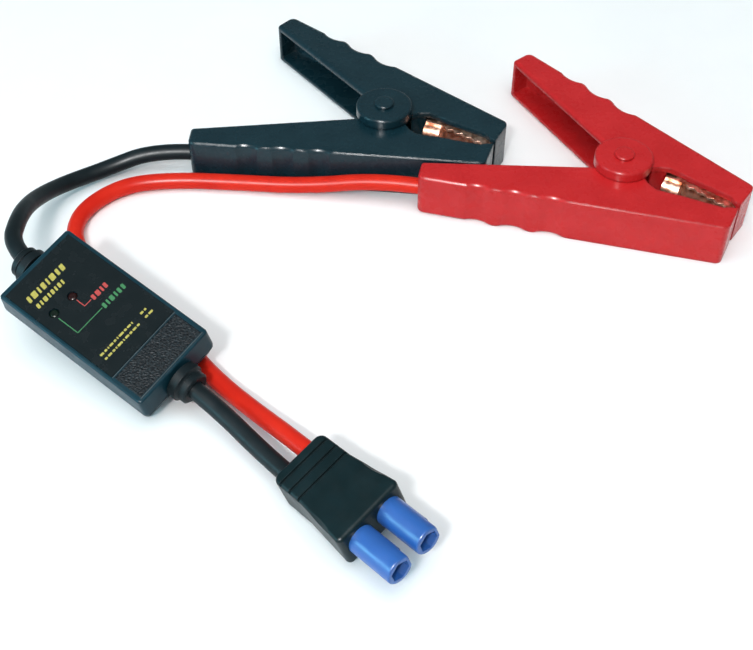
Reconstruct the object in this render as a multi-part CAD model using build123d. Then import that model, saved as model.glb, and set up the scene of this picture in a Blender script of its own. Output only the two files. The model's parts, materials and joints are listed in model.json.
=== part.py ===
from build123d import *
import math
import os

# Battery clamp lead of a jump starter pack: two spring clamps, a control box in the
# negative lead, and a two-pole plug. Millimetres, +Z up, everything lies on z = 0.
# Modelled about the middle of the lead, then moved so that the origin is the bottom
# centre of the rigid pieces.

# ---------------------------------------------------------------- driving dimensions
CABLE_R = 2.8                       # silicone cable, 5.6 mm over its sheath
CORE_R = 1.95                       # stranded copper inside it
FIT = 0.05                          # cable, pin and contact clearance, radial

CLAMP_H = 16.0                      # height of a clamp's shells as it lies
REAR_OUT, REAR_IN = (-56.0, 41.9), (-58.8, 34.0)   # handle's end, on plan
NOSE_OUT, NOSE_IN = (42.2, 11.8), (41.3, 1.0)      # jaw's end, on plan
WALL = 1.9                          # outer wall and end walls
FLANGE = 2.0                        # top and bottom of each channel
EAR_R, EAR_GAP = 8.5, 0.4           # hinge ears and the clearance round them
DISC_R, DISC_TOP = 9.8, 19.8        # raised disc on the upper shell
STACK_GAP = 0.15                    # between faces that turn on each other
PIN_R = 2.0
JAW_T = 1.0                         # copper plated steel strip
JAW_Z = (3.2, 12.8)                 # lowest and highest edge of a jaw strip

BOX_L, BOX_W, BOX_H = 56.9, 29.2, 13.4
BOX_PART_Z = 5.4                    # parting line of the case
BOX_FLARE = 1.3                     # the ends stand out this far at the parting line
BOX_WALL = 1.6
LABEL_T = 0.3
BOARD_Z, BOARD_T = 3.2, 1.2
LED_SPOTS = {"error_led": (-11.0, -1.2), "start_led": (-11.3, -8.6)}
BOOT_L, BOOT_R = 7.0, 6.0
TERMINAL_X, TERMINAL_HALF = 17.8, 2.6   # solder terminals, from the case's middle
CABLE_Z = 6.7                       # cable's height in the box

HOOD_L, HOOD_FRONT, HOOD_REAR, HOOD_T = 29.4, 23.0, 18.8, 12.8
CORE_BLOCK = (13.0, 17.6, 9.0)      # blue housing inside the hood
BARREL_PITCH, BARREL_R, BARREL_L = 10.6, 4.25, 15.0
SOCKET_R, CONTACT_R = 2.5, 3.1      # contact's bore and its outside
CONTACT_BACK = 4.4                  # contact's front edge behind the barrel's mouth
CABLE_SPREAD = 8.8                  # between the two cables in the hood

# Poses: x, y, z of each unit's own origin, then its turns in degrees.
RED_POSE = ((88.2, 59.4, 0.0), -31.3)
BLACK_POSE = ((7.7, 87.3, 0.0), -23.2)
BOX_POSE = ((-75.3, -11.5, 8.8), -36.85, 9.27, 13.8)
PLUG_POSE = ((4.6, -82.3, 11.9), -46.7, -6.8, 13.5)

# Free points of each cable, between the straight stretches held by its fittings.
RED_ROUTE = [(-31.0, -38.3, 5.2), (-44.0, -24.0, 2.8), (-58.5, -5.0, 2.8),
             (-79.0, 13.0, 2.8), (-95.5, 33.0, 2.8), (-96.5, 49.5, 2.8),
             (-84.0, 63.5, 2.8), (-67.0, 66.6, 2.8), (-45.0, 65.4, 2.8),
             (-20.0, 62.6, 3.4)]
BLACK_ROUTE = [(-109.2, 29.5, 19.8), (-108.5, 45.5, 12.8), (-103.0, 59.8, 6.5),
               (-91.5, 70.8, 3.6)]


# ---------------------------------------------------------------- small helpers
def tilted(pose):
    """Location of a unit that is turned about Z, then dipped about Y, then rolled."""
    place, heading, dip, roll = pose
    return Pos(*place) * Rot(0, 0, heading) * Rot(0, dip, 0) * Rot(roll, 0, 0)


def flat(pose):
    """Location of a unit that lies flat and is only turned about Z."""
    place, heading = pose
    return Pos(*place) * Rot(0, 0, heading)


def point(where, x, y, z):
    """A unit's own point, in the frame of the whole lead."""
    return (where * Pos(x, y, z)).position


def plate(outline, low, high):
    """Solid of a plan outline between two heights."""
    return Pos(0, 0, low) * extrude(make_face(Polyline(*outline, close=True)), high - low)


def drum(x, y, radius, low, high):
    """Upright cylinder between two heights."""
    return Pos(x, y, (low + high) / 2) * Cylinder(radius, high - low)


def rod(start, end, radius):
    """Cylinder from one point to another."""
    axis = Vector(*end) - Vector(*start)
    plane = Plane(origin=Vector(*start), z_dir=axis)
    return extrude(plane * Circle(radius), axis.length)


def block(low, high):
    """Box between two corners."""
    size = [b - a for a, b in zip(low, high)]
    middle = [(a + b) / 2 for a, b in zip(low, high)]
    return Pos(*middle) * Box(*size)


# ---------------------------------------------------------------- clamp
def along(start, end, distance, inset):
    """Point at a distance along a line of the plan, set in to the line's right."""
    dx, dy = end[0] - start[0], end[1] - start[1]
    run = math.hypot(dx, dy)
    ux, uy = dx / run, dy / run
    return (start[0] + ux * distance + uy * inset, start[1] + uy * distance - ux * inset)


def mouth_edge():
    """Plan line of the jaw's working edge, from the hinge to the nose."""
    return [(9.3, 3.0), (11.5, 4.9), (14.5, 6.2), (18.0, 5.9), (22.0, 5.0),
            (30.0, 4.1), (37.0, 3.2), (39.2, 1.6), NOSE_IN]


def half_outline():
    """Plan outline of the shell on the +Y side, with rounded outer corners."""
    points = [REAR_OUT, REAR_IN, (-8.2, 6.2), (0.0, 4.0), *mouth_edge(), NOSE_OUT]
    face = make_face(Polyline(*points, close=True))
    corners = {REAR_OUT: 2.6, REAR_IN: 1.2, NOSE_OUT: 2.4}
    for corner, radius in corners.items():
        near = face.vertices().sort_by_distance((*corner, 0))[0]
        face = fillet(near, radius)
    return face


def grip_scallops():
    """Finger dips along the outer edge of a handle."""
    radius, depth, first, pitch = 9.0, 0.8, 20.5, 12.6
    dips = []
    for i in range(3):
        x, y = along(REAR_OUT, NOSE_OUT, first + i * pitch, depth - radius)
        dips.append(drum(x, y, radius, -1, CLAMP_H + 1))
    return Part() + dips


def channel_pocket():
    """Hollow of a shell, open towards the other half."""
    run = math.dist(REAR_OUT, NOSE_OUT)
    rear_x = (REAR_IN[0] - REAR_OUT[0]) / (REAR_OUT[1] - REAR_IN[1])
    outer_rear = along(REAR_OUT, NOSE_OUT, WALL, WALL)
    outer_nose = along(REAR_OUT, NOSE_OUT, run - WALL, WALL)
    drop = outer_rear[1] + 20.0
    outline = [outer_rear, outer_nose, (NOSE_IN[0] - WALL, -20.0),
               (outer_rear[0] + rear_x * drop, -20.0)]
    return plate(outline, FLANGE, CLAMP_H - FLANGE)


def blank_half():
    """Channel with rounded edges, before its hinge ears."""
    body = extrude(half_outline(), CLAMP_H) - grip_scallops()
    outer = [e for e in body.edges() if e.geom_type != GeomType.LINE or e.length > 90]
    outer = [e for e in outer if abs(e.center().Z - CLAMP_H / 2) > 7.9
             and e.center().Y > 12 and e.length > 1.5]
    body = fillet(outer, 1.3)
    return body - channel_pocket()


def lower_blank():
    """The same channel on the -Y side."""
    return mirror(blank_half(), Plane.XZ)


def upper_shell():
    """Moving shell: raised disc above the stack, an inner ear below it, a cheek wall."""
    blank = blank_half()
    near = extrude(half_outline(), CLAMP_H)
    body = blank - drum(0, 0, EAR_R + EAR_GAP, -1, CLAMP_H + 1)
    disc = drum(0, 0, DISC_R, CLAMP_H + STACK_GAP, DISC_TOP)
    disc = fillet(disc.edges().group_by(Axis.Z)[-1], 0.6)
    collar = drum(0, 0, DISC_R, CLAMP_H - 1, CLAMP_H + 1)
    collar = (collar - drum(0, 0, EAR_R + EAR_GAP, 0, 30)) & Pos(0, 0, 2) * near
    inner_low, inner_high = FLANGE + STACK_GAP, FLANGE + STACK_GAP + 2.0
    ear = drum(0, 0, EAR_R, inner_low, inner_high)
    web = drum(0, 0, EAR_R + 6, inner_low, inner_high) & near
    pad = (drum(0, 0, EAR_R + 6, 1, inner_high) - drum(0, 0, EAR_R + EAR_GAP, 0, 9)) & near
    cheek = plate([(9.0, 3.4), (11.3, 5.2), (13.5, 6.2), (13.5, 7.6), (10.5, 6.8), (8.4, 4.7)],
                  FLANGE - 0.1, CLAMP_H - FLANGE + 0.1)
    body = body + disc + collar + ear + web + pad + cheek
    return body - drum(0, 0, PIN_R + FIT, -1, 30)


def lower_shell():
    """Fixed shell: its two ears are its own flanges, and its rear wall takes the cable."""
    body = lower_blank()
    body = body + drum(0, 0, EAR_R, 0, FLANGE)
    body = body + drum(0, 0, EAR_R, CLAMP_H - FLANGE, CLAMP_H)
    body = body - drum(0, 0, PIN_R, -1, 30) - drum(0, 0, 3.7, -1, 0.9)
    return body - cable_notch()


def cable_line(distance):
    """Point of the cable's axis inside the lower handle, from its rear end."""
    x, y = along(REAR_OUT, NOSE_OUT, distance, WALL + CABLE_R + 2 * FIT)
    return (x, -y, CLAMP_H / 2)


def cable_notch():
    """Way in for the cable through the rear wall."""
    return rod(cable_line(-6), cable_line(WALL + 1.5), CABLE_R + FIT)


def tooth_line():
    """Working edge of a jaw strip: a gentle slope to the nose, cut into teeth."""
    start, stop, count, depth = (20.6, 4.4), (39.2, 0.25), 5, 1.1
    points = []
    for i in range(count):
        for share, rise in ((0.0, depth), (0.5, 0.0)):
            t = (i + share) / count
            x = start[0] + (stop[0] - start[0]) * t
            y = start[1] + (stop[1] - start[1]) * t
            points.append((x, y + rise))
    return points + [stop]


def jaw(side, with_barrel):
    """Copper plated channel behind the teeth: a rolled heel, and a tail along the handle."""
    inset = WALL + FIT
    run = math.dist(REAR_OUT, NOSE_OUT)
    low, high = JAW_Z
    tail = 13.0 if with_barrel else 62.0
    strip = plate([along(REAR_OUT, NOSE_OUT, tail, inset),
                   along(REAR_OUT, NOSE_OUT, run - 2.4, inset),
                   along(REAR_OUT, NOSE_OUT, run - 2.4, inset + JAW_T),
                   along(REAR_OUT, NOSE_OUT, tail, inset + JAW_T)], low, high)
    back = [along(REAR_OUT, NOSE_OUT, run - 2.4, inset + 0.2),
            along(REAR_OUT, NOSE_OUT, run - 23.5, inset + 0.2)]
    teeth = plate([*tooth_line(), *back], low, low + JAW_T)
    roll = rod((13.9, 4.9, 9.2), (19.8, 4.9, 9.2), 2.8)
    body = strip + roll + teeth + Pos(0, 0, high - low - JAW_T) * teeth
    heel = plate([(13.9, 5.2), (19.8, 5.2), (20.6, 4.6), (20.6, 6.0), back[1],
                  (17.2, 17.2), (17.2, 6.4), (13.9, 6.4)], low, high)
    body = body + heel
    if with_barrel:
        start, end = cable_line(5.2), cable_line(15.0)
        start, end = [(x, -y, z) for x, y, z in (start, end)]
        body = body + (rod(start, end, 2.65) - rod(start, end, CORE_R))
    return body if side > 0 else mirror(body, Plane.XZ)


def bridge_strap():
    """Bowed copper strap that joins the rear of the two jaws across the mouth."""
    centre_x, radius, low, high = 14.2, 5.1, 4.4, 6.2
    ring = drum(centre_x, 0, radius, low, high) - drum(centre_x, 0, radius - JAW_T, 4, 13)
    keep = block((centre_x + 1.2, -radius, 0), (30, radius, 16))
    return ring & keep


def torsion_spring():
    """Closely wound coil round the pin, and one leg along each handle."""
    inner, outer, low, high = 4.2, 5.8, 4.6, 12.0
    wire = (outer - inner) / 2
    coil = drum(0, 0, outer, low, high) - drum(0, 0, inner, 0, 30)
    middle = (inner + outer) / 2
    upper = rod((-3.5, middle - 1.4, high - wire), (-34.0, 31.0, high - wire), wire)
    lower = rod((-3.5, 1.4 - middle, low + wire), (-34.0, -31.0, low + wire), wire)
    hollow = drum(0, 0, inner, 0, 30)
    return coil + (upper - hollow) + (lower - hollow)


def clamp(colour):
    """All pieces of one clamp, by node name, about its pivot."""
    pin = drum(0, 0, PIN_R, 0.1, DISC_TOP + 0.5) + drum(0, 0, 3.6, 0.1, 0.85)
    cap = drum(0, 0, 3.4, DISC_TOP + 0.1, DISC_TOP + 1.1)
    cap = fillet(cap.edges().group_by(Axis.Z)[-1], 0.35)
    cap = cap - drum(0, 0, PIN_R, 0, DISC_TOP + 0.5)
    core = rod(cable_line(4.0 + FIT), cable_line(12.8), CORE_R - FIT)
    pieces = {
        "lower_shell": lower_shell(),
        "upper_shell": upper_shell(),
        "lower_jaw": jaw(-1, True),
        "upper_jaw": jaw(1, False),
        "pivot_pin": pin,
        "pivot_cap": cap,
        "torsion_spring": torsion_spring(),
        "bridge_strap": bridge_strap(),
        "cable_core": core,
    }
    return {f"{colour}_{name}": piece for name, piece in pieces.items()}


# ---------------------------------------------------------------- control box
def case_section(length, width, corner, z):
    """Rounded rectangle of the case at one height."""
    return Pos(0, 0, z) * RectangleRounded(length, width, corner)


def case_top():
    """Upper part of the case as a full block, its ends sloping out to the joint."""
    low = case_section(BOX_L + 2 * BOX_FLARE, BOX_W + 0.6, 1.7, BOX_PART_Z)
    high = case_section(BOX_L, BOX_W, 1.2, BOX_H)
    body = loft([low, high], ruled=True)
    return fillet(body.edges().group_by(Axis.Z)[-1], 0.7)


def case_bottom():
    """Lower part of the case as a full block."""
    low = case_section(BOX_L - 1.0, BOX_W - 1.6, 1.7, 0)
    high = case_section(BOX_L + 2 * BOX_FLARE, BOX_W + 0.6, 1.7, BOX_PART_Z)
    body = loft([low, high], ruled=True)
    return fillet(body.edges().group_by(Axis.Z)[0], 1.2)


def screw_spots():
    """Corners of the case where the two halves are screwed together."""
    x, y = BOX_L / 2 - 4.6, BOX_W / 2 - 4.4
    return [(x, y), (x, -y), (-x, y), (-x, -y)]


def cable_ways():
    """Holes for the negative lead through both ends of the case."""
    reach = BOX_L / 2 + 12
    return rod((-reach, 0, CABLE_Z), (reach, 0, CABLE_Z), CABLE_R + FIT)


def top_cover():
    """Lid with a recess for the label, LED holes and screw pillars."""
    hollow = block((-BOX_L / 2 + BOX_WALL, -BOX_W / 2 + BOX_WALL, 0),
                   (BOX_L / 2 - BOX_WALL, BOX_W / 2 - BOX_WALL, BOX_H - BOX_WALL - 0.3))
    body = case_top() - hollow
    for x, y in screw_spots():
        body = body + drum(x, y, 2.1, BOX_PART_Z + 0.4, BOX_H - 1)
        body = body - drum(x, y, 0.9, 0, BOX_H - 3)
    low, high = label_area()
    body = body - block((*low, BOX_H - LABEL_T / 2), (*high, BOX_H + 1))
    for x, y in LED_SPOTS.values():
        body = body - drum(x, y, 1.6, 0, BOX_H + 1)
    return body - joint_groove() - cable_ways()


def joint_groove():
    """Shadow line round the case at the parting line, and the lid's seat above it."""
    length, width = BOX_L + 2 * BOX_FLARE, BOX_W + 0.6
    outer = case_section(length + 4, width + 4, 4.0, BOX_PART_Z - 0.35)
    inner = case_section(length - 0.9, width - 0.9, 1.3, BOX_PART_Z - 0.35)
    seat = case_section(length + 4, width + 4, 4.0, BOX_PART_Z)
    return (extrude(outer, 0.7) - extrude(inner, 0.7)) + extrude(seat, 0.08)


def label_area():
    """Lowest and highest corner of the label on the lid."""
    return (-BOX_L / 2 + 1.6, -BOX_W / 2 + 1.2), (16.4, BOX_W / 2 - 1.2)


def label():
    """Printed label, set half its thickness into the lid."""
    (x0, y0), (x1, y1) = label_area()
    body = block((x0 + 0.05, y0 + 0.05, BOX_H - LABEL_T / 2),
                 (x1 - 0.05, y1 - 0.05, BOX_H + LABEL_T / 2))
    for x, y in LED_SPOTS.values():
        body = body - drum(x, y, 1.6, 0, BOX_H + 1)
    return body


def bottom_shell():
    """Tray with screw bosses and four short feet for the board."""
    hollow = block((-BOX_L / 2 + BOX_WALL, -BOX_W / 2 + BOX_WALL, BOX_WALL),
                   (BOX_L / 2 - BOX_WALL, BOX_W / 2 - BOX_WALL, BOX_H))
    body = case_bottom() - hollow
    for x, y in screw_spots():
        body = body + drum(x, y, 2.6, 0.6, BOX_PART_Z)
        body = body - drum(x, y, 1.05, -1, BOX_H) - drum(x, y, 2.0, -1, 1.6)
    for x in (-17.0, 17.0):
        for y in (-9.0, 9.0):
            body = body + drum(x, y, 1.6, 1, BOARD_Z)
    return body - joint_groove() - cable_ways()


def case_screws():
    """Four self-tapping screws, driven from below."""
    screws = []
    for x, y in screw_spots():
        shank = drum(x, y, 0.85, 0.3, 9.0) + drum(x, y, 1.9, 0.3, 1.5)
        slot = block((x - 1.2, y - 0.2, 0), (x + 1.2, y + 0.2, 0.7))
        screws.append(shank - slot)
    return Part() + screws


def board_outline():
    """Circuit board, cut back at the corners for the screw bosses."""
    length, width, notch = 51.0, 24.4, 8.0
    board = block((-length / 2, -width / 2, BOARD_Z),
                  (length / 2, width / 2, BOARD_Z + BOARD_T))
    for x, y in screw_spots():
        board = board - drum(x, y, 3.1, 0, 9)
    trough = block((-40, -CABLE_R - 0.6, 0), (-length / 2 + notch, CABLE_R + 0.6, 9))
    return board - trough - mirror(trough, Plane.YZ)


def on_board(x, y, length, width, height):
    """Rectangular component that stands on the board."""
    base = BOARD_Z + BOARD_T
    return block((x - length / 2, y - width / 2, base),
                 (x + length / 2, y + width / 2, base + height))


def terminal(side):
    """Tinned block that a cable's core is soldered into."""
    base = BOARD_Z + BOARD_T
    x = side * TERMINAL_X
    near, far = x - TERMINAL_HALF, x + TERMINAL_HALF
    post = block((near, -3.0, base), (far, 3.0, CABLE_Z + 2.6))
    return post - rod((near - 1, 0, CABLE_Z), (far + 1, 0, CABLE_Z), CORE_R + FIT)


def cable_end_x():
    """Where the negative lead's sheath ends inside the case, from its middle."""
    return BOX_L / 2 - 5.0


def stripped_core(side):
    """Bare strands between a cable's sheath and its terminal."""
    inner = TERMINAL_X - TERMINAL_HALF
    return rod((side * cable_end_x(), 0, CABLE_Z), (side * inner, 0, CABLE_Z), CORE_R)


def boot(side):
    """Ribbed strain relief on the case's end."""
    start = BOX_L / 2 + BOX_FLARE - 0.15
    tip = BOX_L / 2 + BOOT_L
    profile = [(start, BOOT_R), (start + 2.6, BOOT_R), (start + 3.0, 5.2),
               (tip - 2.2, 4.7), (tip - 2.2, 5.1), (tip - 0.5, 5.1), (tip, 4.5)]
    outline = [*profile, (tip, CABLE_R + FIT), (start, CABLE_R + FIT)]
    face = make_face(Polyline(*[(x, 0, y) for x, y in outline], close=True))
    body = Pos(0, 0, CABLE_Z) * revolve(face, Axis.X, 360)
    body = body - case_top() - case_bottom()
    return body if side > 0 else mirror(body, Plane.YZ)


def led(x, y):
    """Three millimetre lamp on the board, its dome level with the label."""
    base = BOARD_Z + BOARD_T
    body = drum(x, y, 1.9, base, base + 1) + drum(x, y, 1.5, base, BOX_H + 0.1)
    return fillet(body.edges().group_by(Axis.Z)[-1], 0.8)


def transistors():
    """Power transistors that switch the negative lead."""
    spots = [(-4.6, -7.6), (6.0, -7.6), (6.0, 8.5)]
    return Part() + [on_board(x, y, 9.0, 6.6, 3.2) for x, y in spots]


def bus_bar():
    """Tinned copper bar that carries the current between the two terminals."""
    base = BOARD_Z + BOARD_T
    reach = TERMINAL_X - TERMINAL_HALF
    return block((-reach, 1.0, base), (reach, 4.8, base + 1.4))


def control_box():
    """All pieces of the control box, by node name, in the case's own frame."""
    base = BOARD_Z + BOARD_T
    chip = on_board(-4.6, 7.8, 5.0, 5.0, 1.4)
    capacitor = drum(14.6, 8.2, 2.6, base, base + 5.2)
    pieces = {
        "box_top_cover": top_cover(),
        "box_bottom_shell": bottom_shell(),
        "box_label": label(),
        "box_screws": case_screws(),
        "circuit_board": board_outline(),
        "power_transistors": transistors(),
        "control_chip": chip,
        "filter_capacitor": capacitor,
        "bus_bar": bus_bar(),
        "clamp_side_terminal": terminal(-1),
        "plug_side_terminal": terminal(1),
        "clamp_side_core": stripped_core(-1),
        "plug_side_core": stripped_core(1),
        "clamp_side_boot": boot(-1),
        "plug_side_boot": boot(1),
    }
    for name, spot in LED_SPOTS.items():
        pieces[name] = led(*spot)
    return pieces


# ---------------------------------------------------------------- plug
def hood_outline():
    """Plan of the moulded hood, wider at the mouth."""
    rear, front, waist = HOOD_REAR / 2, HOOD_FRONT / 2, 9.2
    side = [(-HOOD_L, rear), (-HOOD_L + 12.0, waist + 0.3), (0, front)]
    return [*side, *[(x, -y) for x, y in reversed(side)]]


def cable_side(pole):
    """Sideways place of a cable in the hood: +1 positive, -1 negative."""
    return pole * CABLE_SPREAD / 2


def barrel_side(pole):
    """Sideways place of a barrel and its contact."""
    return pole * BARREL_PITCH / 2


def housing():
    """Blue two-barrel housing as a full block."""
    depth, width, thick = CORE_BLOCK
    body = block((-depth, -width / 2, -thick / 2), (-0.6, width / 2, thick / 2))
    body = fillet(body.edges().filter_by(Axis.X), 1.8)
    for pole in (1, -1):
        y = barrel_side(pole)
        barrel = rod((-1, y, 0), (BARREL_L, y, 0), BARREL_R)
        barrel = fillet(barrel.edges().group_by(Axis.X)[-1], 0.5)
        key = block((BARREL_L - 4.5, y + BARREL_R - 0.75, -BARREL_R),
                    (BARREL_L + 1, y + BARREL_R + 1, BARREL_R))
        body = body + (barrel - key)
    return body


def plug_housing():
    """The housing with its contact bores and six-sided mouths."""
    body = housing()
    for pole in (1, -1):
        y = barrel_side(pole)
        seat = BARREL_L - CONTACT_BACK
        body = body - rod((-CORE_BLOCK[0] - 1, y, 0), (seat, y, 0), CONTACT_R)
        mouth = Plane(origin=(seat - 0.5, y, 0), z_dir=(1, 0, 0))
        body = body - extrude(mouth * RegularPolygon(3.2, 6), CONTACT_BACK + 1)
    return body


def contact(pole):
    """Brass socket: a bore for the pack's bullet in front, a solder cup behind."""
    y, cup_y = barrel_side(pole), cable_side(pole)
    front, back = BARREL_L - CONTACT_BACK, -CORE_BLOCK[0]
    body = rod((back, y, 0), (front, y, 0), CONTACT_R)
    body = body - rod((front - 11.0, y, 0), (front + 1, y, 0), SOCKET_R)
    cup = rod((-HOOD_L + 6.0, cup_y, 0), (back, cup_y, 0), 2.6)
    return body + cup


def hood():
    """Moulded grip over the housing, with three grooves and two thumb scoops."""
    body = plate(hood_outline(), -HOOD_T / 2, HOOD_T / 2)
    upright = body.edges().filter_by(Axis.Z)
    corners = [e for e in upright if abs(e.center().X + HOOD_L) < 0.1]
    body = fillet(corners, 2.4)
    corners = [e for e in body.edges().filter_by(Axis.Z) if abs(e.center().X) < 0.1]
    body = fillet(corners, 1.6)
    faces = body.faces().sort_by(Axis.Z)
    body = fillet(faces[-1].edges() + faces[0].edges(), 1.2)
    for i in range(3):
        x = -HOOD_L + 3.0 + i * 3.8
        for z in (HOOD_T / 2, -HOOD_T / 2):
            groove = block((x, -HOOD_FRONT, z - 0.8), (x + 0.9, HOOD_FRONT, z + 0.8))
            body = body - groove
    scoop_r, scoop_x, depth = 26.0, -11.0, 0.9
    for side in (1, -1):
        edge = Vector(scoop_x, side * (HOOD_FRONT / 2 - 1.0), HOOD_T / 2)
        out = Vector(0, side, 0.75).normalized()
        centre = edge + out * (scoop_r - depth)
        along_edge = Vector(0, side * 0.75, -1).normalized()
        body = body - rod(centre - along_edge * 30, centre + along_edge * 30, scoop_r)
    body = body - housing()
    for pole in (1, -1):
        y = cable_side(pole)
        body = body - rod((-HOOD_L - 3, y, 0), (-HOOD_L + 6.0, y, 0), CABLE_R + FIT)
        body = body - rod((-HOOD_L + 5.0, y, 0), (-CORE_BLOCK[0], y, 0), 2.6)
    return body


def plug():
    """All pieces of the plug, by node name, about the hood's front face."""
    return {
        "plug_hood": hood(),
        "plug_housing": plug_housing(),
        "positive_contact": contact(1),
        "negative_contact": contact(-1),
    }


# ---------------------------------------------------------------- cables
def cable(name, points):
    """Tube of straight runs and tangent arcs through a route's points."""
    points = [Vector(*p) for p in points]
    runs = [(b - a).length for a, b in zip(points, points[1:])]
    radii = []
    for i in range(1, len(points) - 1):
        turn = (points[i] - points[i - 1]).get_angle(points[i + 1] - points[i])
        shorter = min(runs[i - 1], runs[i])
        radii.append(0.45 * shorter / math.tan(math.radians(turn) / 2))
    path = FilletPolyline(*points, radius=radii)
    start = Plane(origin=path @ 0, z_dir=path % 0)
    tube = sweep(start * Circle(CABLE_R), path=path)
    expected = math.pi * CABLE_R ** 2 * path.length
    print(name, "length", round(path.length, 1), "runs", [round(r, 1) for r in runs])
    print("  radii", [round(r, 1) for r in radii], "volume ratio",
          round(tube.volume / expected, 4))
    print("  points", [tuple(round(c, 1) for c in p) for p in points])
    return tube


def cable_routes(red, black, box, plug_at):
    """Full routes: each begins and ends with a straight stretch in its fitting."""
    end, out, lead = cable_end_x(), BOX_L / 2 + 13.0, 13.0
    red_in = [point(plug_at, -HOOD_L + 6.0, cable_side(1), 0),
              point(plug_at, -HOOD_L - 9.0, cable_side(1), 0)]
    plug_in = [point(plug_at, -HOOD_L + 6.0, cable_side(-1), 0),
               point(plug_at, -HOOD_L - 8.5, cable_side(-1), 0)]
    box_plug = [point(box, BOX_L / 2 + 12.0, 0, CABLE_Z), point(box, end, 0, CABLE_Z)]
    box_clamp = [point(box, -end, 0, CABLE_Z), point(box, -out, 0, CABLE_Z)]
    red_end = [point(red, *cable_line(-lead)), point(red, *cable_line(4.0))]
    black_end = [point(black, *cable_line(-lead)), point(black, *cable_line(4.0))]
    return {
        "red_cable": [*red_in, *RED_ROUTE, *red_end],
        "black_plug_cable": [*plug_in, *box_plug],
        "black_clamp_cable": [*box_clamp, *BLACK_ROUTE, *black_end],
    }


# ---------------------------------------------------------------- assembly
def assembly():
    """Every node of the lead in its place, before the shift to the origin."""
    red, black = flat(RED_POSE), flat(BLACK_POSE)
    box, plug_at = tilted(BOX_POSE), tilted(PLUG_POSE)
    nodes = {}
    for where, pieces in ((red, clamp("red")), (black, clamp("black")),
                          (box, control_box()), (plug_at, plug())):
        for name, piece in pieces.items():
            nodes[name] = where * piece
    routes = cable_routes(red, black, box, plug_at)
    cables = {name: cable(name, points) for name, points in routes.items()}
    return nodes, cables


def main():
    os.makedirs("parts", exist_ok=True)
    nodes, cables = assembly()
    boxes = [piece.bounding_box() for piece in nodes.values()]
    low = [min(tuple(b.min)[i] for b in boxes) for i in range(3)]
    high = [max(tuple(b.max)[i] for b in boxes) for i in range(3)]
    shift = Pos(-(low[0] + high[0]) / 2, -(low[1] + high[1]) / 2, -low[2])
    print("rigid box", [round(v, 2) for v in low], [round(v, 2) for v in high])
    print("shift", [round(v, 3) for v in tuple(shift.position)])
    for name, piece in {**nodes, **cables}.items():
        export_step(shift * piece, f"parts/{name}.step")


main()
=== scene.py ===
import json
import math

import bmesh
import bpy
from mathutils import Matrix, Vector, noise


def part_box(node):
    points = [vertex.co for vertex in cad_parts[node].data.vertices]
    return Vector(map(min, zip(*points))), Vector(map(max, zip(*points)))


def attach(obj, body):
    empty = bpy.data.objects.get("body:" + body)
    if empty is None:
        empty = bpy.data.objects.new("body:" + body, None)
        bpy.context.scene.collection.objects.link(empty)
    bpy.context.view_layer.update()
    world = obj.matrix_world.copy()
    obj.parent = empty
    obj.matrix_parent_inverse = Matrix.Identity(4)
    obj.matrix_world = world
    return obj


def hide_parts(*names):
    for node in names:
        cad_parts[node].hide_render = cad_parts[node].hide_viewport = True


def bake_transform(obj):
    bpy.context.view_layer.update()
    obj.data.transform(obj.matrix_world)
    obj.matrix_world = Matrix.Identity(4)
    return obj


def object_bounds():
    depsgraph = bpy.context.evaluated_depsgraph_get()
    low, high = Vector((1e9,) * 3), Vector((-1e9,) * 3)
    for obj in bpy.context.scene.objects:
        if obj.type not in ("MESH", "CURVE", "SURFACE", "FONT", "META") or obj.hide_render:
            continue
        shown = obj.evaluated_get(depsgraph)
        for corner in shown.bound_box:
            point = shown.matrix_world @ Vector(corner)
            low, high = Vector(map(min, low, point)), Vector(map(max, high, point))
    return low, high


# Battery clamp lead of a jump starter pack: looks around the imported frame.
# Metres throughout. MM turns a size in millimetres into metres.
MM = 0.001
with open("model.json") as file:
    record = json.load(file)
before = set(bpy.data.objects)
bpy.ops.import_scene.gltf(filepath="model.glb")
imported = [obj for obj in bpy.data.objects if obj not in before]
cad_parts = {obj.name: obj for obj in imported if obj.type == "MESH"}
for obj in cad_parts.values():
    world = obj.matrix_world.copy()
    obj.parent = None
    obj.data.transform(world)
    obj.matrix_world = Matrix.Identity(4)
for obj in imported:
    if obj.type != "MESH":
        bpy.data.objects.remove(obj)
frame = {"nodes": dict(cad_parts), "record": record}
cad_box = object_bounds()
nodes = frame["nodes"]

# ---------------------------------------------------------------- places
SHIFT = Vector((-11.203, -23.684, 0.0)) * MM      # the lead's drawing frame to the row frame
CLAMP_TURN = {"red": -31.3, "black": -23.2}       # each clamp's heading, degrees
BOX_PLACE = ((-75.3, -11.5, 8.8), -36.85, 9.27, 13.8)  # place in mm, heading, dip, roll
BOX_H = 13.4                                      # top of the control box's lid
LABEL_TOP = 13.55                                 # top of the label film
CABLE_D = 5.6 * MM


def tilted(place, heading, dip, roll):
    """Matrix of a unit's own frame, from its place in millimetres and its three turns."""
    turn = (Matrix.Rotation(math.radians(heading), 4, "Z")
            @ Matrix.Rotation(math.radians(dip), 4, "Y")
            @ Matrix.Rotation(math.radians(roll), 4, "X"))
    return Matrix.Translation(Vector(place) * MM + SHIFT) @ turn


def clamp_matrix(colour):
    """Matrix of a clamp's own frame: its pivot pin stands on the origin."""
    low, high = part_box(f"{colour}_pivot_pin")
    pivot = Vector(((low.x + high.x) / 2, (low.y + high.y) / 2, 0))
    return Matrix.Translation(pivot) @ Matrix.Rotation(math.radians(CLAMP_TURN[colour]), 4, "Z")


BOX_AT = tilted(*BOX_PLACE)


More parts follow.
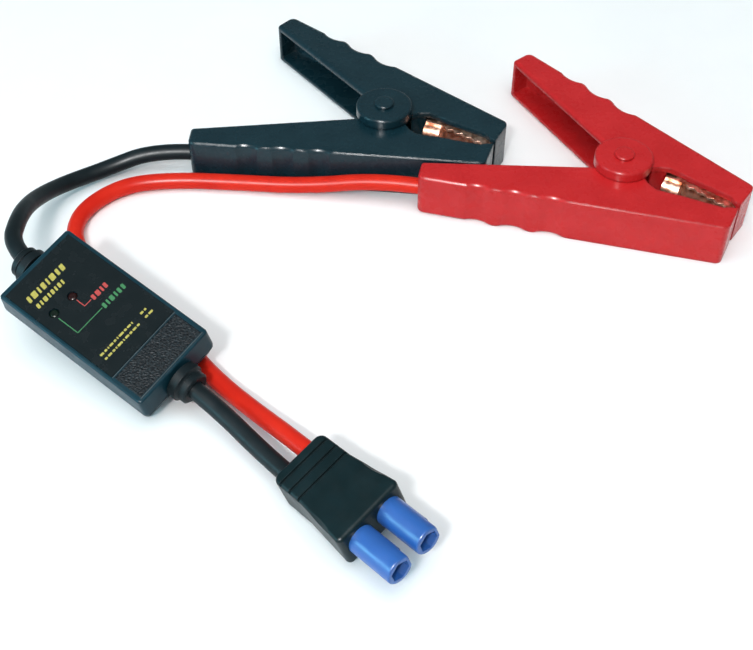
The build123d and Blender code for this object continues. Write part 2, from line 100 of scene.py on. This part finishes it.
# ---------------------------------------------------------------- materials
class Shader:
    """A Principled material with a few helpers for procedural detail."""

    def __init__(self, name, **sockets):
        self.material = bpy.data.materials.new(name)
        self.material.use_nodes = True
        self.tree = self.material.node_tree
        self.shader = self.tree.nodes["Principled BSDF"]
        for socket, value in sockets.items():
            self.shader.inputs[socket.replace("_", " ")].default_value = value
        self.coords = self.tree.nodes.new("ShaderNodeTexCoord").outputs["Object"]
        self.normal = None

    def noise(self, size_mm, detail=3.0):
        """Noise whose features are about this many millimetres across."""
        texture = self.tree.nodes.new("ShaderNodeTexNoise")
        texture.inputs["Scale"].default_value = 1 / (size_mm * MM)
        texture.inputs["Detail"].default_value = detail
        self.tree.links.new(self.coords, texture.inputs["Vector"])
        return texture.outputs["Fac"]

    def mix_colour(self, factor, first, second, low=0.35, high=0.65):
        """Base colour that runs between two colours as the factor does."""
        ramp = self.tree.nodes.new("ShaderNodeValToRGB")
        ramp.color_ramp.elements[0].position = low
        ramp.color_ramp.elements[0].color = (*first, 1)
        ramp.color_ramp.elements[1].position = high
        ramp.color_ramp.elements[1].color = (*second, 1)
        self.tree.links.new(factor, ramp.inputs["Fac"])
        self.tree.links.new(ramp.outputs["Color"], self.shader.inputs["Base Color"])

    def vary_roughness(self, factor, low, high):
        """Roughness that runs between two values as the factor does."""
        span = self.tree.nodes.new("ShaderNodeMapRange")
        span.inputs["From Min"].default_value = 0.3
        span.inputs["From Max"].default_value = 0.7
        span.inputs["To Min"].default_value = low
        span.inputs["To Max"].default_value = high
        self.tree.links.new(factor, span.inputs["Value"])
        self.tree.links.new(span.outputs["Result"], self.shader.inputs["Roughness"])

    def round_edges(self, radius_mm):
        """Softens the hard edges of moulded pieces in the shading."""
        bevel = self.tree.nodes.new("ShaderNodeBevel")
        bevel.samples = 4
        bevel.inputs["Radius"].default_value = radius_mm * MM
        self.normal = bevel.outputs["Normal"]
        self.tree.links.new(self.normal, self.shader.inputs["Normal"])

    def bump(self, factor, depth_mm):
        """Relief of this depth, on top of any relief given before."""
        bump = self.tree.nodes.new("ShaderNodeBump")
        bump.inputs["Distance"].default_value = depth_mm * MM
        bump.inputs["Strength"].default_value = 1.0
        self.tree.links.new(factor, bump.inputs["Height"])
        if self.normal is not None:
            self.tree.links.new(self.normal, bump.inputs["Normal"])
        self.normal = bump.outputs["Normal"]
        self.tree.links.new(self.normal, self.shader.inputs["Normal"])


MOTTLE_MM, GLOSS_PATCH_MM = 9.0, 4.0              # size of the tone and gloss patches
RIPPLE_MM, RIPPLE_DEPTH_MM = 3.2, 0.005           # shallow waves of a moulded surface


def moulded(name, dark, light, rough, grain_mm, grain_depth, edge=0.35, coat=0.0, shine=0.4):
    """Moulded plastic or rubber: mottled tone, uneven gloss, fine grain, soft edges."""
    made = Shader(name, Coat_Weight=coat, Coat_Roughness=0.15, Specular_IOR_Level=shine)
    made.mix_colour(made.noise(MOTTLE_MM), dark, light)
    made.vary_roughness(made.noise(GLOSS_PATCH_MM), rough - 0.05, rough + 0.07)
    if edge:
        made.round_edges(edge)
    made.bump(made.noise(grain_mm, 4.0), grain_depth)
    made.bump(made.noise(RIPPLE_MM, 1.0), RIPPLE_DEPTH_MM)
    return made.material


def metal(name, dark, light, rough):
    """Plated or bare metal with a fine grain, tarnish and uneven gloss."""
    made = Shader(name, Metallic=1.0)
    made.mix_colour(made.noise(2.4, 5.0), dark, light)
    made.vary_roughness(made.noise(1.1, 4.0), rough - 0.08, rough + 0.12)
    made.round_edges(0.15)
    made.bump(made.noise(0.5), 0.02)
    return made.material


def ink(name, colour):
    """Screen-printed ink with small gaps in its cover."""
    made = Shader(name, Roughness=0.5)
    worn = tuple(c * 0.75 for c in colour)
    made.mix_colour(made.noise(0.5, 4.0), worn, colour, 0.3, 0.5)
    made.bump(made.noise(0.2, 2.0), 0.01)
    return made.material


def lens(name, dark, light):
    """Tinted lamp dome, dark while the lamp is off."""
    made = Shader(name, Transmission_Weight=0.1, IOR=1.49, Specular_IOR_Level=0.12)
    made.mix_colour(made.noise(1.2), dark, light)
    made.vary_roughness(made.noise(0.6), 0.22, 0.36)
    return made.material


def circuit_board():
    """Solder mask with faint copper tracks below it."""
    made = Shader("board_green", Coat_Weight=0.4)
    tracks = made.tree.nodes.new("ShaderNodeTexBrick")
    tracks.inputs["Scale"].default_value = 220
    tracks.inputs["Color1"].default_value = (0.01, 0.12, 0.045, 1)
    tracks.inputs["Color2"].default_value = (0.012, 0.15, 0.055, 1)
    tracks.inputs["Mortar"].default_value = (0.05, 0.26, 0.1, 1)
    tracks.inputs["Mortar Size"].default_value = 0.04
    made.tree.links.new(made.coords, tracks.inputs["Vector"])
    made.tree.links.new(tracks.outputs["Color"], made.shader.inputs["Base Color"])
    made.vary_roughness(made.noise(2.0), 0.25, 0.4)
    return made.material


def build_materials():
    """One material for every slot of the record, by slot name."""
    return {
        "red_plastic": moulded("red_plastic", (0.49, 0.014, 0.016), (0.53, 0.018, 0.020),
                               0.27, 0.35, 0.006, edge=1.3, coat=0.14, shine=0.18),
        # The teal cast in this dark base, and in the other dark bases below, is painted
        # reflection of blue surroundings on black plastic.
        "black_plastic": moulded("black_plastic", (0.004, 0.020, 0.028), (0.006, 0.025, 0.034),
                                 0.26, 0.35, 0.006, edge=1.3, coat=0.15, shine=0.22),
        "copper_plate": metal("copper_plate", (0.40, 0.17, 0.10), (0.95, 0.66, 0.52), 0.38),
        "bare_copper": metal("bare_copper", (0.60, 0.26, 0.13), (0.86, 0.46, 0.28), 0.36),
        "steel": metal("steel", (0.50, 0.51, 0.52), (0.70, 0.70, 0.70), 0.30),
        "case_plastic": moulded("case_plastic", (0.003, 0.024, 0.036), (0.004, 0.031, 0.046),
                                0.34, 0.25, 0.02, shine=0.15),
        "label_film": moulded("label_film", (0.0065, 0.0105, 0.012), (0.0075, 0.0115, 0.013),
                              0.24, 0.6, 0.004, edge=0.0, shine=0.2),
        "board": circuit_board(),
        "component_black": moulded("component_black", (0.012, 0.012, 0.013),
                                   (0.020, 0.020, 0.021), 0.55, 0.15, 0.01, edge=0.15),
        "capacitor": metal("capacitor_can", (0.45, 0.46, 0.48), (0.62, 0.63, 0.65), 0.35),
        "tinned_bar": metal("tinned_bar", (0.55, 0.55, 0.55), (0.75, 0.75, 0.74), 0.35),
        "boot_rubber": moulded("boot_rubber", (0.005, 0.010, 0.012), (0.008, 0.014, 0.017),
                               0.42, 0.3, 0.02, shine=0.12),
        "red_lens": lens("red_lens", (0.012, 0.003, 0.003), (0.022, 0.004, 0.004)),
        "green_lens": lens("green_lens", (0.003, 0.008, 0.005), (0.004, 0.014, 0.008)),
        "hood_plastic": moulded("hood_plastic", (0.003, 0.011, 0.013), (0.004, 0.015, 0.018),
                                0.36, 0.25, 0.02, shine=0.15),
        "blue_plastic": moulded("blue_plastic", (0.018, 0.095, 0.340), (0.023, 0.108, 0.375),
                                0.36, 0.3, 0.010, edge=0.25, coat=0.1),
        "contact_brass": metal("contact_brass", (0.55, 0.36, 0.14), (0.86, 0.66, 0.32), 0.28),
        "red_silicone": moulded("red_silicone", (0.60, 0.018, 0.009), (0.66, 0.024, 0.011),
                                0.34, 0.4, 0.010, edge=0.0, shine=0.1),
        "black_silicone": moulded("black_silicone", (0.005, 0.010, 0.012),
                                  (0.008, 0.014, 0.017), 0.42, 0.4, 0.010, edge=0.0, shine=0.15),
    }


slots = build_materials()


def dress_frame():
    """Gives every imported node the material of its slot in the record."""
    for part in frame["record"]["subparts"]:
        node = nodes[part["node"]]
        node.data.materials.clear()
        node.data.materials.append(slots[part["material_slot"]])


# ---------------------------------------------------------------- mesh helpers
def new_object(name, mesh, slot_name, body="root", material=None):
    """Links a mesh or curve, gives it a material and lets it ride on a body."""
    piece = bpy.data.objects.new(name, mesh)
    bpy.context.scene.collection.objects.link(piece)
    mesh.materials.append(material or slots[slot_name])
    if body:
        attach(piece, body)
    return piece


def smooth(mesh):
    """Smooth shading on every face."""
    mesh.polygons.foreach_set("use_smooth", [True] * len(mesh.polygons))


def tube_into(bm, points, radius, sides):
    """Adds a closed round tube that follows the points."""
    points = [Vector(p) for p in points]
    ahead = (points[1] - points[0]).normalized()
    side = ahead.orthogonal().normalized()
    rings = []
    for i, here in enumerate(points):
        before, after = points[max(i - 1, 0)], points[min(i + 1, len(points) - 1)]
        ahead = (after - before).normalized()
        side = (side - ahead * side.dot(ahead)).normalized()
        other = ahead.cross(side)
        ring = []
        for k in range(sides):
            angle = 2 * math.pi * k / sides
            ring.append(bm.verts.new(here + (side * math.cos(angle) + other * math.sin(angle))
                                     * radius))
        rings.append(ring)
    for ring, following in zip(rings, rings[1:]):
        for k in range(sides):
            j = (k + 1) % sides
            bm.faces.new((ring[k], ring[j], following[j], following[k]))
    bm.faces.new(reversed(rings[0]))
    bm.faces.new(rings[-1])


def mesh_from(name, bm, place=None):
    """Mesh of a bmesh that was drawn in millimetres in a unit's own frame."""
    bm.transform(Matrix.Scale(MM, 4))
    if place is not None:
        bm.transform(place)
    bm.normal_update()
    mesh = bpy.data.meshes.new(name)
    bm.to_mesh(mesh)
    bm.free()
    return mesh


# ---------------------------------------------------------------- cables
RED_ROUTE = [(-8.3, -62.4, 10.1), (-18.5, -51.5, 8.4), (-31.0, -38.3, 5.2),
             (-44.0, -24.0, 2.8), (-58.5, -5.0, 2.8), (-79.0, 13.0, 2.8),
             (-95.5, 33.0, 2.8), (-96.5, 49.5, 2.8), (-84.0, 63.5, 2.8),
             (-67.0, 66.6, 2.8), (-45.0, 65.4, 2.8), (-20.0, 62.6, 3.4),
             (7.2, 60.5, 8.0), (23.6, 56.4, 8.0)]
PLUG_ROUTE = [(-14.4, -68.4, 8.1), (-24.2, -57.9, 6.4), (-43.5, -37.3, 8.7),
              (-56.9, -27.3, 11.4)]
CLAMP_ROUTE = [(-93.9, 0.5, 19.0), (-108.2, 11.1, 21.9), (-109.2, 29.5, 19.8),
               (-108.5, 45.5, 12.8), (-103.0, 59.8, 6.5), (-91.5, 70.8, 3.6),
               (-72.7, 77.0, 8.0), (-55.8, 75.2, 8.0)]


def cable(name, node, route, slot_name):
    """A free cable: one smooth spline with the route's points as control points."""
    curve = bpy.data.curves.new(name, "CURVE")
    curve.dimensions = "3D"
    curve.bevel_depth = CABLE_D / 2
    curve.bevel_resolution = 8
    curve.use_fill_caps = True
    spline = curve.splines.new("NURBS")
    spline.points.add(len(route) - 1)
    for spot, at in zip(spline.points, route):
        spot.co = (*(Vector(at) * MM + SHIFT), 1.0)
    spline.order_u = 3
    spline.use_endpoint_u = True
    spline.resolution_u = 16
    piece = new_object(name, curve, slot_name)
    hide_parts(node)
    return piece


# ---------------------------------------------------------------- clamp springs and strands
# Millimetres in a clamp's own frame.
SPRING_WIRE = 0.8                                 # radius of the wire
SPRING_R = 5.0                                    # radius of the coil
SPRING_LOW, SPRING_HIGH = 5.4, 11.2               # heights of the two legs
SPRING_LEG = (-34.0, 31.0)                        # tip of a leg, on plan
SPRING_TURNS, SPRING_STEPS = 3, 120
HANDLE_REAR, HANDLE_NOSE = Vector((-56.0, -41.9, 8.0)), Vector((42.2, -11.8, 8.0))
CABLE_INSET = 4.8                                 # cable's axis from the handle's outer side
STRANDS_FROM, STRANDS_TO = 4.1, 12.8              # bare length, from the handle's rear end
STRANDS_R, STRAND_COUNT, STRAND_TWIST = 1.9, 12, 0.35


def spring_points():
    """Centreline of a torsion spring: a leg, a little over three turns, a leg."""
    reach = math.hypot(*SPRING_LEG)
    tip_angle = math.atan2(SPRING_LEG[1], SPRING_LEG[0])
    leave = tip_angle - math.acos(SPRING_R / reach)
    turn = 2 * leave + SPRING_TURNS * 2 * math.pi
    points = [(SPRING_LEG[0], -SPRING_LEG[1], SPRING_LOW)]
    for i in range(SPRING_STEPS + 1):
        share = i / SPRING_STEPS
        angle = -leave + turn * share
        rise = SPRING_LOW + (SPRING_HIGH - SPRING_LOW) * share
        points.append((SPRING_R * math.cos(angle), SPRING_R * math.sin(angle), rise))
    points.append((*SPRING_LEG, SPRING_HIGH))
    return points


def torsion_spring(colour):
    """Wound spring whose legs follow the two halves of the clamp."""
    bm = bmesh.new()
    tube_into(bm, spring_points(), SPRING_WIRE, 14)
    place = clamp_matrix(colour)
    mesh = mesh_from(f"{colour}_spring_coil", bm, place)
    smooth(mesh)
    piece = new_object(f"{colour}_spring_coil", mesh, "steel", body=None)
    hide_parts(f"{colour}_torsion_spring")
    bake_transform(piece)
    return piece


def core_point(distance):
    """Point on the cable's axis in a clamp's lower handle, from the handle's rear end."""
    ahead = (HANDLE_NOSE - HANDLE_REAR).normalized()
    inward = Vector((-ahead.y, ahead.x, 0))
    return HANDLE_REAR + ahead * distance + inward * CABLE_INSET


def bare_strands(colour):
    """Twisted bundle of bare strands between the cable's sheath and the crimp barrel."""
    start, end = core_point(STRANDS_FROM), core_point(STRANDS_TO)
    ahead = (end - start).normalized()
    side = ahead.orthogonal().normalized()
    other = ahead.cross(side)
    fit = math.sin(math.pi / STRAND_COUNT)
    strand_r = STRANDS_R * fit / (1 + fit)
    steps = 12
    bm = bmesh.new()
    for k in range(STRAND_COUNT):
        points = []
        for i in range(steps + 1):
            share = i / steps
            angle = 2 * math.pi * (k / STRAND_COUNT + STRAND_TWIST * share)
            away = side * math.cos(angle) + other * math.sin(angle)
            points.append(start.lerp(end, share) + away * (STRANDS_R - strand_r))
        tube_into(bm, points, strand_r, 8)
    tube_into(bm, [start, start.lerp(end, 0.5), end], STRANDS_R - 1.9 * strand_r, 16)
    name = f"{colour}_cable_strands"
    mesh = mesh_from(name, bm, clamp_matrix(colour))
    smooth(mesh)
    piece = new_object(name, mesh, "bare_copper")
    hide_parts(f"{colour}_cable_core")
    return piece


# ---------------------------------------------------------------- label of the control box
# Millimetres in the box's own frame.
INK_SUNK, INK_PROUD = 0.01, 0.025                 # ink below and above the film's top
POINTER_WIDTH = 0.28
PANEL_X, PANEL_Y = (17.1, 27.2), (-13.0, 13.0)    # grained panel on the lid
PANEL_STEP = 0.26                                 # spacing of its grid


def bar_into(bm, x0, y0, x1, y1, low, high, lean=0.0):
    """Adds a flat bar with cut corners; lean slants it along Y."""
    cut = min(0.22, (x1 - x0) * 0.22, (y1 - y0) * 0.22)
    outline = [(x0 + cut, y0), (x1 - cut, y0), (x1, y0 + cut), (x1, y1 - cut),
               (x1 - cut, y1), (x0 + cut, y1), (x0, y1 - cut), (x0, y0 + cut)]
    middle = (x0 + x1) / 2
    outline = [(x, y - (x - middle) * lean) for x, y in outline]
    bottom = [bm.verts.new((x, y, low)) for x, y in outline]
    top = [bm.verts.new((x, y, high)) for x, y in outline]
    bm.faces.new(top)
    bm.faces.new(reversed(bottom))
    for k in range(len(outline)):
        j = (k + 1) % len(outline)
        bm.faces.new((bottom[k], bottom[j], top[j], top[k]))


def printed(name, bars, colour, lean=0.0):
    """Printed marks on the label: each bar is x0, y0, x1, y1 in the box's own frame."""
    bm = bmesh.new()
    for x0, y0, x1, y1 in bars:
        bar_into(bm, x0, y0, x1, y1, LABEL_TOP - INK_SUNK, LABEL_TOP + INK_PROUD, lean)
    mesh = mesh_from(name, bm, BOX_AT)
    return new_object(name, mesh, "label_film", material=ink(name + "_ink", colour))


def row_of_bars(x, tall, start, stop, widths, gap):
    """Bars of the given relative widths side by side, from start to stop along Y."""
    scale = (stop - start - gap * (len(widths) - 1)) / sum(widths)
    bars, y = [], start
    for width in widths:
        bars.append((x - tall / 2, y, x + tall / 2, y + width * scale))
        y += width * scale + gap
    return bars


def leader(points):
    """Thin line of straight stretches, square to the box."""
    half = POINTER_WIDTH / 2
    return [(min(xa, xb) - half, min(ya, yb) - half, max(xa, xb) + half, max(ya, yb) + half)
            for (xa, ya), (xb, yb) in zip(points, points[1:])]


def label_graphics():
    """Plain bars and pointer lines in place of the words printed on the label."""
    yellow, red, green = (0.42, 0.36, 0.05), (0.44, 0.026, 0.022), (0.012, 0.17, 0.046)
    title = row_of_bars(-20.2, 2.3, -10.4, 4.6, [3, 5, 2, 4, 2, 5, 3, 4], 0.75)
    title += row_of_bars(-16.6, 1.7, -10.2, 0.8, [3, 2, 4, 2, 3, 2, 3, 2], 0.6)
    printed("label_title_marks", title, yellow, lean=0.18)
    error = row_of_bars(-5.7, 1.9, 1.8, 7.9, [3, 4, 2, 3], 0.6)
    printed("label_error_mark", error, red, lean=0.1)
    pointer = leader([(-8.9, -1.4), (-5.7, -1.4), (-5.7, 1.2)])
    printed("label_error_pointer", pointer, red)
    start = row_of_bars(-1.2, 1.9, 1.8, 10.8, [3, 2, 4, 2, 3, 3], 0.65)
    printed("label_start_mark", start, green, lean=0.1)
    pointer = leader([(-8.9, -9.0), (-1.2, -9.0), (-1.2, 1.2)])
    printed("label_start_pointer", pointer, green)
    rating = row_of_bars(9.2, 0.7, -10.4, 3.2, [3, 2, 1, 3, 2, 1, 4, 2, 3, 1], 0.4)
    rating += row_of_bars(11.1, 0.7, -10.4, 4.1, [2, 3, 2, 1, 4, 1, 3, 2, 3, 2], 0.4)
    rating += row_of_bars(9.2, 0.7, 6.6, 9.0, [3, 2], 0.4)
    rating += row_of_bars(11.1, 0.7, 6.6, 9.8, [2, 3], 0.4)
    printed("label_rating_marks", rating, yellow)


def grained_grid(bm, base):
    """Adds the panel's upper face, rough all over and low at its edges."""
    (x0, x1), (y0, y1) = PANEL_X, PANEL_Y
    across, along = round((x1 - x0) / PANEL_STEP), round((y1 - y0) / PANEL_STEP)
    grid = []
    for i in range(across + 1):
        line = []
        for j in range(along + 1):
            x, y = x0 + (x1 - x0) * i / across, y0 + (y1 - y0) * j / along
            edge = min(i, across - i, j, along - j) == 0
            relief = 0.16 + 0.16 * noise.noise(Vector((x * 2.1, y * 2.1, 0.0)))
            line.append(bm.verts.new((x, y, base + (0.02 if edge else relief))))
        grid.append(line)
    for i in range(across):
        for j in range(along):
            bm.faces.new((grid[i][j], grid[i + 1][j], grid[i + 1][j + 1], grid[i][j + 1]))
    return grid


def grain_panel():
    """Coarse-grained panel on the lid beside the label, closed below."""
    base = BOX_H - 0.02
    bm = bmesh.new()
    grid = grained_grid(bm, base)
    rim = [line[0] for line in grid] + grid[-1][1:]
    rim += [line[-1] for line in grid[-2::-1]] + grid[0][-2:0:-1]
    lower = [bm.verts.new((v.co.x, v.co.y, base - 0.05)) for v in rim]
    for k in range(len(rim)):
        j = (k + 1) % len(rim)
        bm.faces.new((rim[k], lower[k], lower[j], rim[j]))
    bm.faces.new(reversed(lower))
    bmesh.ops.recalc_face_normals(bm, faces=bm.faces)
    mesh = mesh_from("lid_grain_panel", bm, BOX_AT)
    made = Shader("lid_grain", Specular_IOR_Level=0.08)
    made.mix_colour(made.noise(0.55, 4.0), (0.003, 0.005, 0.007), (0.022, 0.031, 0.036),
                    0.42, 0.70)
    made.vary_roughness(made.noise(0.5), 0.4, 0.65)
    new_object("lid_grain_panel", mesh, "case_plastic", material=made.material)


def panel_border():
    """Two fine raised lines, one on each side of the grained panel."""
    wide, top, overhang = 0.22, BOX_H + 0.12, 0.3
    bm = bmesh.new()
    for x in (PANEL_X[0] - 0.5, PANEL_X[1] + 0.25):
        bar_into(bm, x, PANEL_Y[0] - overhang, x + wide, PANEL_Y[1] + overhang,
                 BOX_H - 0.02, top)
    mesh = mesh_from("lid_panel_border", bm, BOX_AT)
    border = moulded("lid_border", (0.03, 0.045, 0.05), (0.05, 0.07, 0.075), 0.5, 0.3, 0.01)
    new_object("lid_panel_border", mesh, "case_plastic", material=border)


# ---------------------------------------------------------------- studio
LAMP_AT = (-0.16, -0.56, 0.60)                    # beside the camera


def area_light(name, at, target, size, power, colour=(1, 1, 1), reflected=True, lights=True):
    """Soft rectangular light on a target; it can be left out of gloss or of diffuse light."""
    light = bpy.data.lights.new(name, "AREA")
    light.shape = "RECTANGLE"
    light.size, light.size_y = size
    light.energy = power
    light.color = colour
    lamp = bpy.data.objects.new(name, light)
    lamp.location = at
    lamp.rotation_euler = (Vector(target) - Vector(at)).to_track_quat("-Z", "Y").to_euler()
    lamp.visible_glossy = reflected
    lamp.visible_diffuse = lights
    bpy.context.scene.collection.objects.link(lamp)


def studio():
    """Pale floor, dim cool surroundings, soft fill lights and a lamp beside the camera.

    The glint lights nothing by itself: it draws the crisp highlights on rounded edges.
    """
    low = cad_box[0]
    bpy.ops.mesh.primitive_plane_add(size=6, location=(0, 0, low[2] - 0.0002))
    floor = bpy.context.object
    floor.name = "studio_floor"
    made = Shader("studio_floor", Roughness=0.8, Specular_IOR_Level=0.1)
    made.mix_colour(made.noise(40.0), (0.92, 0.92, 0.92), (0.94, 0.94, 0.94))
    floor.data.materials.append(made.material)
    world = bpy.data.worlds.new("studio")
    world.use_nodes = True
    world.node_tree.nodes["Background"].inputs["Color"].default_value = (0.80, 0.95, 1.0, 1)
    world.node_tree.nodes["Background"].inputs["Strength"].default_value = 0.30
    bpy.context.scene.world = world
    area_light("key", LAMP_AT, (0, 0, 0), (0.10, 0.06), 2.8)
    area_light("glint", LAMP_AT, (0, 0, 0), (0.10, 0.16), 28.0, lights=False)
    area_light("overhead", (0.0, -0.2, 1.1), (0, 0, 0), (1.2, 1.2), 10.0, reflected=False)
    area_light("left", (-0.80, -0.30, 0.22), (-0.05, 0, 0), (0.3, 0.3), 4.0, (0.35, 0.85, 1.0))


def camera():
    """Camera in front of the lead, looking down at about 47 degrees."""
    lens_mm, look_x, back, height, elevation = 59.4, 5.0, 265.7, 287.0, 47.2
    data = bpy.data.cameras.new("camera")
    data.lens = lens_mm
    data.sensor_width = 36.0
    view = bpy.data.objects.new("camera", data)
    view.location = Vector((look_x, -back, height)) * MM + SHIFT
    view.rotation_euler = (math.radians(90 - elevation), 0, 0)
    bpy.context.scene.collection.objects.link(view)
    bpy.context.scene.camera = view


# ---------------------------------------------------------------- build
dress_frame()
cable("red_cable_sheath", "red_cable", RED_ROUTE, "red_silicone")
cable("black_plug_sheath", "black_plug_cable", PLUG_ROUTE, "black_silicone")
cable("black_clamp_sheath", "black_clamp_cable", CLAMP_ROUTE, "black_silicone")
for colour in CLAMP_TURN:
    torsion_spring(colour)
    bare_strands(colour)
label_graphics()
grain_panel()
panel_border()
studio()
camera()
bpy.context.scene.view_settings.view_transform = "Standard"
